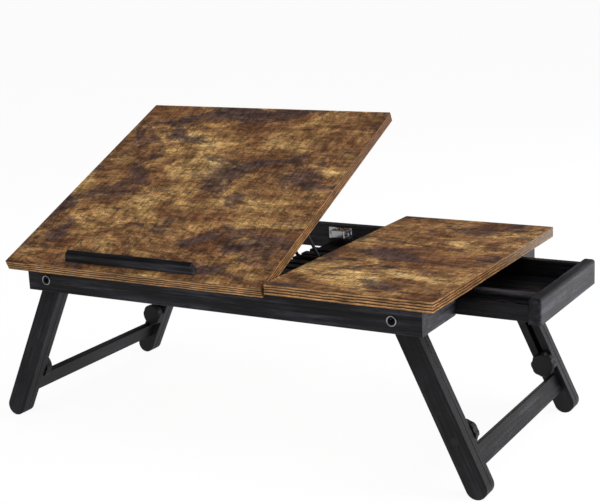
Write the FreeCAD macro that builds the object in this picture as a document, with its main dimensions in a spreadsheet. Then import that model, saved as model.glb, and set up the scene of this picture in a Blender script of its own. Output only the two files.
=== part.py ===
import FreeCAD, Part
import math
import os
import Sketcher
from FreeCAD import Placement, Rotation, Vector

# Laptop stand: a tilting top and a fixed top on a shallow frame, with a drawer that slides
# out of the right end and two folding leg frames whose feet can be let down.
# X runs along the stand to the drawer's end, Y from the user's side to the back, Z up.
# Places are measured from the tops' left front corner and from the floor, and each finished
# piece is then shifted so that the origin is the middle of the footprint in the rest pose.

# Driving sizes, in millimetres and degrees
DIMENSIONS = {
    # tops
    "top_width": 550.0,
    "top_depth": 350.0,
    "top_thickness": 12.0,
    "top_corner_radius": 1.0,
    "top_edge_radius": 0.5,
    "fixed_top_width": 194.5,
    "top_seam": 1.5,
    "tilt_angle": 24.0,
    "tilt_gap": 0.3,
    # frame under the tops
    "frame_inset_side": 18.5,
    "frame_inset_front": 13.8,
    "rail_height": 30.7,
    "rail_thickness": 14.0,
    "rail_edge_radius": 1.2,
    "batten_inset": 0.5,
    "batten_width": 10.0,
    "batten_height": 22.0,
    "batten_end_gap": 38.0,
    "dowel_radius": 2.5,
    "dowel_length": 20.0,
    # folding legs
    "leg_splay_angle": 25.4,
    "leg_reach": 193.0,
    "leg_width": 24.2,
    "leg_thickness": 11.0,
    "leg_edge_radius": 0.8,
    "leg_side_gap": 0.8,
    "leg_stop_gap": 0.35,
    "left_pivot_inset": 27.6,
    "right_pivot_inset": 33.8,
    "leg_pivot_drop": 16.6,
    # boards that slide on the legs and carry the feet
    "extension_thickness": 9.3,
    "extension_gap": 0.3,
    "extension_head": 38.0,
    "extension_top_reach": 24.0,
    "slot_gap": 0.3,
    "clamp_rise": 53.0,
    "guide_pin_radius": 2.5,
    "guide_pin_depth": 4.0,
    "guide_groove_gap": 0.3,
    "guide_groove_end_gap": 0.5,
    "crossbar_gap": 1.8,
    "crossbar_height": 22.5,
    "crossbar_thickness": 8.0,
    "crossbar_offset": 1.0,
    "crossbar_edge_radius": 1.0,
    "tenon_height": 14.0,
    "tenon_thickness": 4.0,
    "tenon_length": 5.0,
    # bolts that the legs turn on
    "bolt_radius": 3.0,
    "running_clearance": 0.06,
    "bolt_head_radius": 5.7,
    "bolt_head_height": 1.3,
    "bolt_rim_radius": 0.6,
    "bolt_dish_depth": 0.5,
    "bolt_socket_radius": 2.6,
    "bolt_socket_depth": 2.4,
    "washer_radius": 8.0,
    "nut_corner_radius": 5.6,
    "nut_height": 3.6,
    "nut_gap": 0.2,
    # bolts and round knobs that clamp the extensions
    "clamp_head_radius": 4.5,
    "clamp_head_height": 2.2,
    "knob_gap": 0.3,
    "knob_radius": 14.4,
    "knob_height": 10.5,
    "knob_bevel": 1.6,
    "knob_bolt_depth": 8.0,
    "knob_neck_radius": 9.0,
    "knob_neck_height": 1.6,
    "flute_radius": 6.0,
    "flute_offset": 4.6,
    # hinges of the tilting top
    "hinge_length": 40.0,
    "hinge_inset": 42.0,
    "hinge_leaf_depth": 12.0,
    "hinge_leaf_thickness": 1.2,
    "hinge_leaf_gap": 0.1,
    "hinge_knuckle_radius": 2.6,
    "hinge_knuckle_gap": 0.3,
    "hinge_recess_gap": 0.4,
    "hinge_pin_radius": 1.2,
    # wire prop and its toothed rack
    "prop_pivot_reach": 172.0,
    "prop_length": 110.3,
    "prop_half_width": 15.0,
    "prop_wire_radius": 2.0,
    "prop_bend_radius": 5.0,
    "prop_stub_reach": 9.5,
    "prop_rest_clearance": 0.6,
    "ear_thickness": 1.6,
    "ear_radius": 4.5,
    "ear_foot": 13.0,
    "ear_side_gap": 1.0,
    "ear_top_gap": 0.5,
    "rack_width": 50.0,
    "rack_neck_width": 36.0,
    "rack_neck_reach": 26.0,
    "rack_lap": 8.0,
    "rack_thickness": 6.0,
    "rack_pitch": 22.0,
    "rack_groove_width": 9.0,
    "rack_groove_depth": 3.2,
    "rack_groove_gap": 0.3,
    # stop bar along the tilting top's lower edge
    "stop_length": 180.0,
    "stop_shift": 3.7,
    "stop_reach": 10.5,
    "stop_depth": 9.0,
    "stop_face_slope": 2.0,
    "stop_front_height": 9.7,
    "stop_back_height": 11.8,
    "stop_end_slope": 3.2,
    "stop_edge_radius": 1.1,
    # box catch on the back rail and its keeper
    "catch_offset": 16.5,
    "catch_length": 33.0,
    "catch_height": 14.5,
    "catch_rack_gap": 7.3,
    "catch_plate_thickness": 1.2,
    "catch_axis_reach": 5.8,
    "catch_body_inset": 7.0,
    "catch_body_length": 19.0,
    "catch_body_height": 11.3,
    "catch_body_depth": 8.5,
    "catch_body_radius": 1.4,
    "catch_end_wall": 2.0,
    "catch_screw_inset": 3.5,
    "catch_screw_rise": 4.2,
    "catch_shaft_radius": 2.5,
    "catch_shaft_stick": 4.0,
    "catch_travel": 4.0,
    "catch_thumb_radius": 1.3,
    "catch_thumb_reach": 8.0,
    "catch_slot_gap": 0.3,
    "catch_slot_inset": 5.0,
    "keeper_gap": 1.5,
    "keeper_drop": 5.2,
    "keeper_thickness": 2.0,
    "keeper_width": 10.4,
    "keeper_back_gap": 0.8,
    "keeper_foot": 12.0,
    "keeper_hole_gap": 0.4,
    # drawer
    "drawer_shift": 9.0,
    "drawer_width": 173.0,
    "drawer_depth": 160.0,
    "drawer_open": 80.2,
    "drawer_travel": 118.0,
    "drawer_floor_thickness": 3.0,
    "drawer_far_thickness": 10.0,
    "drawer_divider_thickness": 12.0,
    "drawer_back_thickness": 10.0,
    "drawer_low_height": 16.7,
    "drawer_low_thickness": 6.0,
    "drawer_trough_width": 16.5,
    "drawer_wall_radius": 0.8,
    "drawer_bottom_gap": 0.3,
    "drawer_side_gap": 0.5,
    "drawer_close_gap": 0.3,
    "drawer_front_thickness": 14.0,
    "drawer_front_gap": 3.0,
    "drawer_front_drop": 1.8,
    "drawer_front_near_lap": 2.5,
    "drawer_front_far_lap": 3.0,
    "drawer_front_top_radius": 3.5,
    "drawer_front_end_radius": 2.5,
    "runner_thickness": 1.2,
    "runner_lip": 9.0,
    "runner_flange": 11.0,
    "runner_end_gap": 0.5,
    "guide_gap": 0.6,
    "guide_height": 6.1,
    "peg_radius": 2.5,
    "peg_height": 4.0,
    "peg_depth": 9.0,
    "stop_block_length": 9.0,
    "stop_block_width": 20.0,
    "stop_block_height": 5.0,
    # wood screws
    "screw_radius": 1.5,
    "screw_head_radius": 2.9,
    "screw_head_height": 1.2,
    "screw_length": 9.0,
    "screw_grip": 7.0,
}

# Where things sit as shares of the piece that they are on
HINGE_SCREW_SHARES = (0.2, 0.8)
HINGE_SCREW_DEPTH_SHARE = 0.6
DOWEL_SHARES = (0.3, 0.7)
TOP_SCREW_SHARES = (0.2, 0.6)
BATTEN_SCREW_SHARES = (0.15, 0.5, 0.85)
RUNNER_SCREW_SHARES = (0.1, 0.5, 0.9)
RACK_SCREW_SHARES = (0.25, 0.75)
STOP_SCREW_SHARES = (0.15, 0.85)

# Counts
KNUCKLE_COUNT = 5
FLUTE_COUNT = 8
GROOVE_COUNT = 5
GROOVE_COUNT_BEFORE_REST = 2
RIGHT_ANGLE = 90.0
FULL_TURN = 360.0
PARALLEL_SHARE = 0.001


class Size:
    """A number together with the expression that the document works it out by."""

    def __init__(self, number, text):
        self.number = number
        self.text = text

    def join(self, sign, other, number):
        return Size(number, f"({self.text} {sign} {other.text})")

    def __add__(self, other):
        other = as_size(other)
        return self.join("+", other, self.number + other.number)

    def __sub__(self, other):
        other = as_size(other)
        return self.join("-", other, self.number - other.number)

    def __mul__(self, other):
        other = as_size(other)
        return self.join("*", other, self.number * other.number)

    def __truediv__(self, other):
        other = as_size(other)
        return self.join("/", other, self.number / other.number)

    def __neg__(self):
        return as_size(0) - self

    def __radd__(self, other):
        return as_size(other) + self

    def __rsub__(self, other):
        return as_size(other) - self

    def __rmul__(self, other):
        return as_size(other) * self


def as_size(value):
    """Give a plain number the form of a Size."""
    if isinstance(value, Size):
        return value
    return Size(float(value), str(value))


def sine(angle):
    return Size(math.sin(math.radians(angle.number)), f"sin({angle.text} * 1 deg)")


def cosine(angle):
    return Size(math.cos(math.radians(angle.number)), f"cos({angle.text} * 1 deg)")


def arc_cosine(ratio):
    return Size(math.degrees(math.acos(ratio.number)), f"(acos({ratio.text}) / 1 deg)")


class Dimensions:
    """The sheet's cells by name."""

    def __getattr__(self, name):
        return Size(DIMENSIONS[name], f"Sizes.{name}")


document = FreeCAD.newDocument("laptop_stand")
d = Dimensions()
parts = {}

sheet = document.addObject("Spreadsheet::Sheet", "Sizes")
for row, (size_name, size_number) in enumerate(DIMENSIONS.items(), start=1):
    sheet.set(f"A{row}", size_name)
    sheet.set(f"B{row}", str(size_number))
    sheet.setAlias(f"B{row}", size_name)
document.recompute()
places = document.addObject("App::VarSet", "Places")


def place(name, size):
    """Keep a place that follows from other sizes as a named value of the document."""
    places.addProperty("App::PropertyFloat", name)
    places.setExpression(name, size.text)
    return Size(size.number, f"Places.{name}")


# Heights above the floor
pivot_level = place("pivot_level", d.leg_reach * cosine(d.leg_splay_angle) + d.leg_width / 2)
rail_top = place("rail_top", pivot_level + d.leg_pivot_drop)
rail_bottom = place("rail_bottom", rail_top - d.rail_height)
rack_top = place("rack_top", rail_bottom + d.rack_thickness)
lip_top = place("lip_top", rail_bottom + d.runner_thickness)
drawer_bottom = place("drawer_bottom", lip_top + d.drawer_bottom_gap)
drawer_floor_top = place("drawer_floor_top", drawer_bottom + d.drawer_floor_thickness)
drawer_wall_top = place("drawer_wall_top", rail_top - d.guide_height - d.guide_gap)
drawer_wall_height = place("drawer_wall_height", drawer_wall_top - drawer_bottom)
drawer_front_bottom = place("drawer_front_bottom", drawer_bottom - d.drawer_front_drop)
drawer_front_height = place(
    "drawer_front_height", rail_top - d.drawer_front_gap - drawer_front_bottom
)

# Places down each leg from its pivot, and the travel of the board that slides on it
clamp_reach = place("clamp_reach", d.leg_reach - d.clamp_rise)
crossbar_reach = place(
    "crossbar_reach", clamp_reach + d.knob_radius + d.crossbar_gap + d.crossbar_height / 2
)
slot_top_reach = place("slot_top_reach", d.extension_top_reach + d.extension_head)
extension_travel = place("extension_travel", clamp_reach - slot_top_reach)

# Places along the stand
frame_left = place("frame_left", d.frame_inset_side)
frame_right = place("frame_right", d.top_width - d.frame_inset_side)
frame_middle = place("frame_middle", (frame_left + frame_right) / 2)
pivot_left = place("pivot_left", frame_left + d.left_pivot_inset)
pivot_right = place("pivot_right", frame_right - d.right_pivot_inset)
stop_width = place(
    "stop_width",
    (pivot_level - rail_bottom) * sine(d.leg_splay_angle) / cosine(d.leg_splay_angle)
    + (d.leg_width / 2 + d.leg_stop_gap) / cosine(d.leg_splay_angle),
)
left_end_thickness = place("left_end_thickness", d.left_pivot_inset - stop_width)
right_end_thickness = place("right_end_thickness", d.right_pivot_inset - stop_width)
end_rail_inside = place("end_rail_inside", frame_right - right_end_thickness)
fixed_top_left = place("fixed_top_left", d.top_width - d.fixed_top_width)
tilting_top_width = place("tilting_top_width", fixed_top_left - d.top_seam)
stop_left = place("stop_left", (tilting_top_width - d.stop_length) / 2 - d.stop_shift)
batten_left = place("batten_left", fixed_top_left + d.batten_inset)
batten_right = place("batten_right", batten_left + d.batten_width)
runner_left = place("runner_left", batten_right + d.runner_end_gap)
runner_length = place("runner_length", end_rail_inside - d.runner_end_gap - runner_left)
drawer_face = place("drawer_face", frame_right + d.drawer_close_gap + d.drawer_open)
drawer_left = place("drawer_left", drawer_face - d.drawer_depth)

# Places from the user's side to the back
frame_front = place("frame_front", d.frame_inset_front)
frame_back = place("frame_back", d.top_depth - d.frame_inset_front)
rail_inner_front = place("rail_inner_front", frame_front + d.rail_thickness)
rail_inner_back = place("rail_inner_back", frame_back - d.rail_thickness)
frame_run = place("frame_run", rail_inner_back - rail_inner_front)
leg_depth = place("leg_depth", d.leg_side_gap + d.leg_thickness)
extension_near = place("extension_near", leg_depth + d.extension_gap)
extension_far = place("extension_far", extension_near + d.extension_thickness)
drawer_middle = place("drawer_middle", d.top_depth / 2 + d.drawer_shift)
drawer_near = place("drawer_near", drawer_middle - d.drawer_width / 2)
drawer_far = place("drawer_far", drawer_middle + d.drawer_width / 2)
far_wall_near = place("far_wall_near", drawer_far - d.drawer_far_thickness)
trough_near = place("trough_near", drawer_near + d.drawer_low_thickness)
divider_near = place("divider_near", trough_near + d.drawer_trough_width)

# The tilting top's hinge axis, and the prop's pivot and foot in the rest pose
hinge_y = place("hinge_y", frame_front - d.hinge_leaf_gap - d.hinge_knuckle_radius)
hinge_z = place("hinge_z", rail_top + d.tilt_gap / 2)
tilt_under = place("tilt_under", d.tilt_gap / 2)
tilt_face = place("tilt_face", tilt_under + d.top_thickness)
prop_drop = place("prop_drop", d.ear_radius + d.ear_top_gap - tilt_under)
prop_y = place(
    "prop_y",
    hinge_y + d.prop_pivot_reach * cosine(d.tilt_angle) + prop_drop * sine(d.tilt_angle),
)
prop_z = place(
    "prop_z",
    hinge_z + d.prop_pivot_reach * sine(d.tilt_angle) - prop_drop * cosine(d.tilt_angle),
)
prop_foot_z = place("prop_foot_z", rack_top + d.prop_rest_clearance + d.prop_wire_radius)
prop_swing = place("prop_swing", arc_cosine((prop_z - prop_foot_z) / d.prop_length))
prop_foot_y = place("prop_foot_y", prop_y + d.prop_length * sine(prop_swing))

# The catch's shaft
catch_left = place("catch_left", frame_middle - d.catch_offset)
catch_right = place("catch_right", catch_left + d.catch_length)
catch_body_left = place("catch_body_left", catch_left + d.catch_body_inset)
catch_body_right = place("catch_body_right", catch_body_left + d.catch_body_length)
catch_bottom = place("catch_bottom", rack_top + d.catch_rack_gap)
catch_y = place("catch_y", rail_inner_back - d.catch_axis_reach)
catch_z = place("catch_z", catch_bottom + d.catch_height / 2)
catch_plate_y = place("catch_plate_y", rail_inner_back - d.catch_plate_thickness)

# The origin, in the middle of the footprint in the rest pose
foot_left = pivot_left - d.leg_reach * sine(d.leg_splay_angle) - d.leg_width / 2
top_front = (
    hinge_y - (hinge_y - d.top_edge_radius) * cosine(d.tilt_angle)
    - (tilt_face - d.top_edge_radius) * sine(d.tilt_angle) - d.top_edge_radius
)
origin_x = place("origin_x", (foot_left + drawer_face + d.drawer_front_thickness) / 2)
origin_y = place("origin_y", (top_front + d.top_depth) / 2)

ALONG_X = Vector(1, 0, 0)
ALONG_Y = Vector(0, 1, 0)
ALONG_Z = Vector(0, 0, 1)
TURNS = {
    "x": Rotation(ALONG_Y, RIGHT_ANGLE),
    "y": Rotation(ALONG_X, -RIGHT_ANGLE),
    "z": Rotation(),
    "-x": Rotation(ALONG_Y, -RIGHT_ANGLE),
    "-y": Rotation(ALONG_X, RIGHT_ANGLE),
    "-z": Rotation(ALONG_X, 2 * RIGHT_ANGLE),
}


def bind(item, path, size):
    item.setExpression(path, as_size(size).text)


def move(item, spot, turn=None):
    """Put an object at a spot whose three coordinates are bound, with a fixed turn."""
    spot = [as_size(value) for value in spot]
    base = Vector(*[value.number for value in spot])
    item.Placement = Placement(base, turn or Rotation())
    for axis, value in zip("xyz", spot):
        bind(item, f"Placement.Base.{axis}", value)
    return item


def keep(label, item, spot=(0, 0, 0), axis=None, angle=None):
    """Name a finished piece and put it in its place on the stand, turned by a bound angle."""
    turn = Rotation(axis, angle.number) if axis else None
    move(item, (spot[0] - origin_x, spot[1] - origin_y, spot[2]), turn)
    if axis:
        bind(item, "Placement.Rotation.Angle", angle)
    item.Label = label
    parts[label] = item


def keep_tilted(label, item):
    """Keep a piece that was laid out about the hinge axis with the top lying flat."""
    keep(label, item, (0, hinge_y, hinge_z), ALONG_X, d.tilt_angle)


def box(label, corner, size):
    item = document.addObject("Part::Box", label)
    for path, value in zip(("Length", "Width", "Height"), size):
        bind(item, path, value)
    return move(item, corner)


def cylinder(label, base, radius, length, axis):
    item = document.addObject("Part::Cylinder", label)
    bind(item, "Radius", radius)
    bind(item, "Height", length)
    return move(item, base, TURNS[axis])


def cone(label, base, radius, end_radius, length, axis):
    item = document.addObject("Part::Cone", label)
    bind(item, "Radius1", radius)
    bind(item, "Radius2", end_radius)
    bind(item, "Height", length)
    return move(item, base, TURNS[axis])


def torus(label, centre, ring_radius, radius, axis):
    item = document.addObject("Part::Torus", label)
    bind(item, "Radius1", ring_radius)
    bind(item, "Radius2", radius)
    return move(item, centre, TURNS[axis])


def hexagon(label, base, corner_radius, length, axis):
    item = document.addObject("Part::Prism", label)
    item.Polygon = 6
    bind(item, "Circumradius", corner_radius)
    bind(item, "Height", length)
    return move(item, base, TURNS[axis])


def group(label, items):
    """Hold solids together without joining them."""
    item = document.addObject("Part::Compound", label)
    item.Links = items
    return item


def fuse(label, items):
    item = document.addObject("Part::MultiFuse", label)
    item.Shapes = items
    item.Refine = True
    return item


def cut(label, base, tools):
    item = document.addObject("Part::Cut", label)
    item.Base = base
    item.Tool = tools[0] if len(tools) == 1 else group(label + "_tools", tools)
    item.Refine = True
    return item


def screw(label, spot, axis, length=d.screw_length):
    """A countersunk wood screw with its head's face at the spot, driven along the axis."""
    head = cone(label + "_head", spot, d.screw_head_radius, d.screw_radius, d.screw_head_height, axis)
    shank = cylinder(label + "_shank", spot, d.screw_radius, length, axis)
    return fuse(label, [head, shank])


def new_body(label):
    return document.addObject("PartDesign::Body", label)


def new_sketch(body, name, plane):
    sketch = body.newObject("Sketcher::SketchObject", name)
    for feature in body.Origin.OriginFeatures:
        if feature.Role == plane:
            sketch.AttachmentSupport = [(feature, "")]
    sketch.MapMode = "FlatFace"
    return sketch


def constrain(sketch, kind, elements, size):
    """Add a sketch constraint whose size is bound."""
    index = sketch.addConstraint(Sketcher.Constraint(kind, *elements, size.number))
    sketch.setExpression(f"Constraints[{index}]", size.text)


def outline(sketch, points):
    """Draw a closed outline of straight lines through points measured from the origin."""
    points = [(as_size(across), as_size(up)) for across, up in points]
    corners = [Vector(across.number, up.number, 0) for across, up in points]
    first = sketch.GeometryCount
    count = len(corners)
    for index in range(count):
        sketch.addGeometry(Part.LineSegment(corners[index], corners[(index + 1) % count]))
    for index in range(count):
        following = first + (index + 1) % count
        sketch.addConstraint(Sketcher.Constraint("Coincident", first + index, 2, following, 1))
    for index, (across, up) in enumerate(points, start=first):
        for kind, axis, value in (("DistanceX", -2, across), ("DistanceY", -1, up)):
            if value.number:
                constrain(sketch, kind, (-1, 1, index, 1), value)
            else:
                sketch.addConstraint(Sketcher.Constraint("PointOnObject", index, 1, axis))


def round_ended(sketch, high, low, radius):
    """Draw an upright outline with round ends, centred on the sketch's upright axis."""
    high, low = as_size(high), as_size(low)
    edge = Vector(radius.number, 0, 0)
    top = Vector(0, high.number, 0)
    bottom = Vector(0, low.number, 0)
    normal = Vector(0, 0, 1)
    upper = Part.ArcOfCircle(Part.Circle(top, normal, radius.number), 0, math.pi)
    lower = Part.ArcOfCircle(Part.Circle(bottom, normal, radius.number), math.pi, 2 * math.pi)
    sketch.addGeometry(upper)
    sketch.addGeometry(Part.LineSegment(top - edge, bottom - edge))
    sketch.addGeometry(lower)
    sketch.addGeometry(Part.LineSegment(bottom + edge, top + edge))
    for first, following in ((0, 1), (1, 2), (2, 3), (3, 0)):
        sketch.addConstraint(Sketcher.Constraint("Tangent", first, 2, following, 1))
    constrain(sketch, "Radius", (0,), radius)
    for arc, level in ((0, high), (2, low)):
        sketch.addConstraint(Sketcher.Constraint("PointOnObject", arc, 3, -2))
        if level.number:
            constrain(sketch, "DistanceY", (-1, 1, arc, 3), level)
        else:
            sketch.addConstraint(Sketcher.Constraint("PointOnObject", arc, 3, -1))


def pad(body, sketch, length, turned=False):
    """Raise a sketch by a bound length."""
    item = body.newObject("PartDesign::Pad", body.Name + "_pad")
    item.Profile = sketch
    item.Reversed = turned
    bind(item, "Length", length)
    document.recompute()
    return item


def round_edges(body, radius, chosen):
    """Round the chosen edges of a body's last feature by a bound radius."""
    base = body.Tip
    names = [f"Edge{index}" for index, edge in enumerate(base.Shape.Edges, start=1) if chosen(edge)]
    item = body.newObject("PartDesign::Fillet", body.Name + "_round")
    item.Base = (base, names)
    bind(item, "Radius", radius)
    document.recompute()
    body.Tip = item


def runs_along(edge, axis):
    """Whether an edge is straight and runs along an axis."""
    if edge.Curve.TypeId != "Part::GeomLine":
        return False
    run = edge.Vertexes[1].Point - edge.Vertexes[0].Point
    return run.cross(axis).Length < PARALLEL_SHARE * run.Length


def board(label, size, radius=None, axis=None):
    """A sawn board from its own corner, with its edges along one axis rounded."""
    body = new_body(label)
    sketch = new_sketch(body, label + "_plan", "XY_Plane")
    outline(sketch, ((0, 0), (size[0], 0), (size[0], size[1]), (0, size[1])))
    pad(body, sketch, size[2])
    if radius:
        round_edges(body, radius, lambda edge: runs_along(edge, axis))
    return body


def round_board(label, high, low, radius, near, depth, edge_radius=None):
    """A board along local Z with round ends, from a near face towards the back."""
    body = new_body(label)
    sketch = new_sketch(body, label + "_side", "XZ_Plane")
    round_ended(sketch, high, low, radius)
    pad(body, sketch, depth, turned=True)
    if edge_radius:
        round_edges(body, edge_radius, lambda edge: not runs_along(edge, ALONG_Y))
    return move(body, (0, near, 0))


def make_dowels():
    """Dowels that pin the end rails between the long rails."""
    dowels = []
    for side, middle in (
        ("left", frame_left + left_end_thickness / 2),
        ("right", frame_right - right_end_thickness / 2),
    ):
        for end, face in (("front", rail_inner_front), ("back", rail_inner_back)):
            for share in DOWEL_SHARES:
                spot = (middle, face - d.dowel_length / 2, rail_bottom + d.rail_height * share)
                name = f"{side}_{end}_dowel"
                dowels.append(cylinder(name, spot, d.dowel_radius, d.dowel_length, "y"))
    keep("frame_dowels", group("frame_dowels", dowels))
    return dowels


def make_pivot_hardware():
    """Bolts, washers and nuts that the four legs turn on, and the bolts' holes."""
    bolts, washers, nuts, holes = [], [], [], []
    grip = d.rail_thickness + leg_depth + d.nut_gap + d.nut_height
    for side, pivot in (("left", pivot_left), ("right", pivot_right)):
        for end, face, inner, axis, sign in (
            ("front", frame_front, rail_inner_front, "y", 1),
            ("back", frame_back, rail_inner_back, "-y", -1),
        ):
            name = f"{side}_{end}_pivot"
            outer = face - sign * d.bolt_head_height
            nut_face = inner + sign * (leg_depth + d.nut_gap)
            spot = (pivot, face, pivot_level)
            shank = cylinder(name + "_shank", spot, d.bolt_radius, grip, axis)
            hole = cylinder(name + "_hole", spot, d.bolt_radius, grip, axis)
            spot = (pivot, outer, pivot_level)
            head = cylinder(name + "_head", spot, d.bolt_head_radius, d.bolt_head_height, axis)
            rim_spot = (pivot, outer + sign * d.bolt_rim_radius / 2, pivot_level)
            rim = torus(
                name + "_rim", rim_spot, d.bolt_head_radius - d.bolt_rim_radius, d.bolt_rim_radius, axis
            )
            dish_radius = d.bolt_head_radius - 2 * d.bolt_rim_radius
            dish = cylinder(name + "_dish", spot, dish_radius, d.bolt_dish_depth, axis)
            socket = hexagon(name + "_socket", spot, d.bolt_socket_radius, d.bolt_socket_depth, axis)
            blank = fuse(name + "_blank", [shank, head, rim])
            bolts.append(cut(name + "_bolt", blank, [dish, socket]))
            spot = (pivot, inner, pivot_level)
            thickness = d.leg_side_gap - d.running_clearance
            disc = cylinder(name + "_disc", spot, d.washer_radius, thickness, axis)
            washers.append(cut(name + "_washer", disc, [hole]))
            spot = (pivot, nut_face, pivot_level)
            nut = hexagon(name + "_hexagon", spot, d.nut_corner_radius, d.nut_height, axis)
            nuts.append(cut(name + "_nut", nut, [hole]))
            holes.append(hole)
    keep("pivot_bolts", group("pivot_bolts", bolts))
    keep("pivot_washers", group("pivot_washers", washers))
    keep("pivot_nuts", group("pivot_nuts", nuts))
    return holes


def make_hinge(side, left, frame_tools, panel_tools, frame_screws, panel_screws):
    """One butt hinge: a leaf let into the front rail and a leaf let into the tilting top."""
    pitch = d.hinge_length / KNUCKLE_COUNT
    reach = d.hinge_knuckle_radius + d.hinge_leaf_gap
    roll_length = pitch - d.hinge_knuckle_gap
    for kind, parity, y, z, low, axis, bore, tools, screws in (
        (
            "frame", 0, hinge_y, hinge_z, -tilt_under - d.hinge_leaf_thickness, "-z",
            d.hinge_pin_radius, frame_tools, frame_screws,
        ),
        (
            "panel", 1, as_size(0), as_size(0), tilt_under, "z",
            d.hinge_pin_radius + d.running_clearance, panel_tools, panel_screws,
        ),
    ):
        name = f"{side}_hinge_{kind}_leaf"
        plate_size = (d.hinge_length, d.hinge_leaf_depth, d.hinge_leaf_thickness)
        pieces = [box(name + "_plate", (left, y + reach, z + low), plate_size)]
        for index in range(parity, KNUCKLE_COUNT, 2):
            start = left + pitch * index + d.hinge_knuckle_gap / 2
            web_size = (roll_length, reach, d.hinge_leaf_thickness)
            pieces.append(box(f"{name}_web_{index}", (start, y, z + low), web_size))
            spot = (start, y, z)
            pieces.append(cylinder(
                f"{name}_roll_{index}", spot, d.hinge_knuckle_radius, roll_length, "x"
            ))
        face = z + low if axis == "z" else z + low + d.hinge_leaf_thickness
        leaf_screws = []
        for index, share in enumerate(HINGE_SCREW_SHARES):
            across = y + reach + d.hinge_leaf_depth * HINGE_SCREW_DEPTH_SHARE
            spot = (left + d.hinge_length * share, across, face)
            leaf_screws.append(screw(f"{name}_screw_{index}", spot, axis))
        hole = cylinder(name + "_bore", (left, y, z), bore, d.hinge_length, "x")
        leaf = cut(name, fuse(name + "_blank", pieces), [hole] + leaf_screws)
        mortise = box(name + "_mortise", (left, y + reach, z + low), plate_size)
        tools += [mortise] + leaf_screws
        screws += leaf_screws
        if kind == "frame":
            keep(name, leaf)
        else:
            keep_tilted(name, leaf)
    recess_corner = (left - d.hinge_recess_gap, -reach, tilt_under)
    recess_size = (d.hinge_length + 2 * d.hinge_recess_gap, 2 * reach, reach)
    panel_tools.append(box(f"{side}_hinge_recess", recess_corner, recess_size))
    return cylinder(
        f"{side}_hinge_pin", (left, hinge_y, hinge_z), d.hinge_pin_radius, d.hinge_length, "x"
    )


def make_hinges():
    """Both hinges, with the cuts that they need in the front rail and in the tilting top."""
    frame_tools, panel_tools, frame_screws, panel_screws, pins = [], [], [], [], []
    far_hinge = tilting_top_width - d.hinge_inset - d.hinge_length
    for side, left in (("left", d.hinge_inset), ("right", far_hinge)):
        pins.append(make_hinge(
            side, left, frame_tools, panel_tools, frame_screws, panel_screws
        ))
    keep("hinge_pins", group("hinge_pins", pins))
    keep("hinge_frame_screws", group("hinge_frame_screws", frame_screws))
    keep_tilted("hinge_panel_screws", group("hinge_panel_screws", panel_screws))
    return frame_tools, panel_tools


def make_rack(frame_screws):
    """Toothed plank across the frame; returns the laps to be cut in the long rails."""
    middle = d.rack_width / 2
    neck = d.rack_neck_width / 2
    length = frame_run + 2 * d.rack_lap
    shoulder = d.rack_lap + d.rack_neck_reach
    body = new_body("rack_plank")
    sketch = new_sketch(body, "rack_plan", "XY_Plane")
    outline(sketch, (
        (middle - neck, 0),
        (middle + neck, 0),
        (middle + neck, shoulder),
        (d.rack_width, shoulder),
        (d.rack_width, length - shoulder),
        (middle + neck, length - shoulder),
        (middle + neck, length),
        (middle - neck, length),
        (middle - neck, length - shoulder),
        (0, length - shoulder),
        (0, shoulder),
        (middle - neck, shoulder),
    ))
    blank = pad(body, sketch, d.rack_thickness)
    rack_near = rail_inner_front - d.rack_lap
    tooth_back = (
        prop_foot_y + d.prop_wire_radius + d.rack_groove_gap - rack_near
        - d.rack_pitch * GROOVE_COUNT_BEFORE_REST
    )
    tooth = new_sketch(body, "rack_tooth", "YZ_Plane")
    outline(tooth, (
        (tooth_back, d.rack_thickness),
        (tooth_back - d.rack_groove_width, d.rack_thickness),
        (tooth_back, d.rack_thickness - d.rack_groove_depth),
    ))
    pocket = body.newObject("PartDesign::Pocket", "rack_groove")
    pocket.Profile = tooth
    pocket.Type = "ThroughAll"
    pocket.Reversed = True
    document.recompute()
    pattern = body.newObject("PartDesign::LinearPattern", "rack_grooves")
    pattern.Originals = [pocket]
    pattern.Direction = (sketch, ["V_Axis"])
    pattern.Occurrences = GROOVE_COUNT
    bind(pattern, "Length", d.rack_pitch * (GROOVE_COUNT - 1))
    body.Tip = pattern
    document.recompute()
    if not blank.Shape.Volume > pocket.Shape.Volume > pattern.Shape.Volume:
        raise RuntimeError("the rack's grooves are not cut")
    rack_left = frame_middle - middle
    move(body, (rack_left, rack_near, rail_bottom))
    screws, laps = [], []
    for end, face, near in (
        ("front", rack_near, rack_near),
        ("back", rail_inner_back, rail_inner_back),
    ):
        lap_size = (d.rack_neck_width, d.rack_lap, d.rack_thickness)
        laps.append(box(f"rack_{end}_lap", (frame_middle - neck, face, rail_bottom), lap_size))
        for share in RACK_SCREW_SHARES:
            across = frame_middle - neck + d.rack_neck_width * share
            spot = (across, near + d.rack_lap / 2, rail_bottom)
            screws.append(screw(f"rack_{end}_screw", spot, "z", d.rack_thickness + d.screw_grip))
    frame_screws += screws
    keep("prop_rack", cut("prop_rack", body, screws))
    return laps + screws


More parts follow.
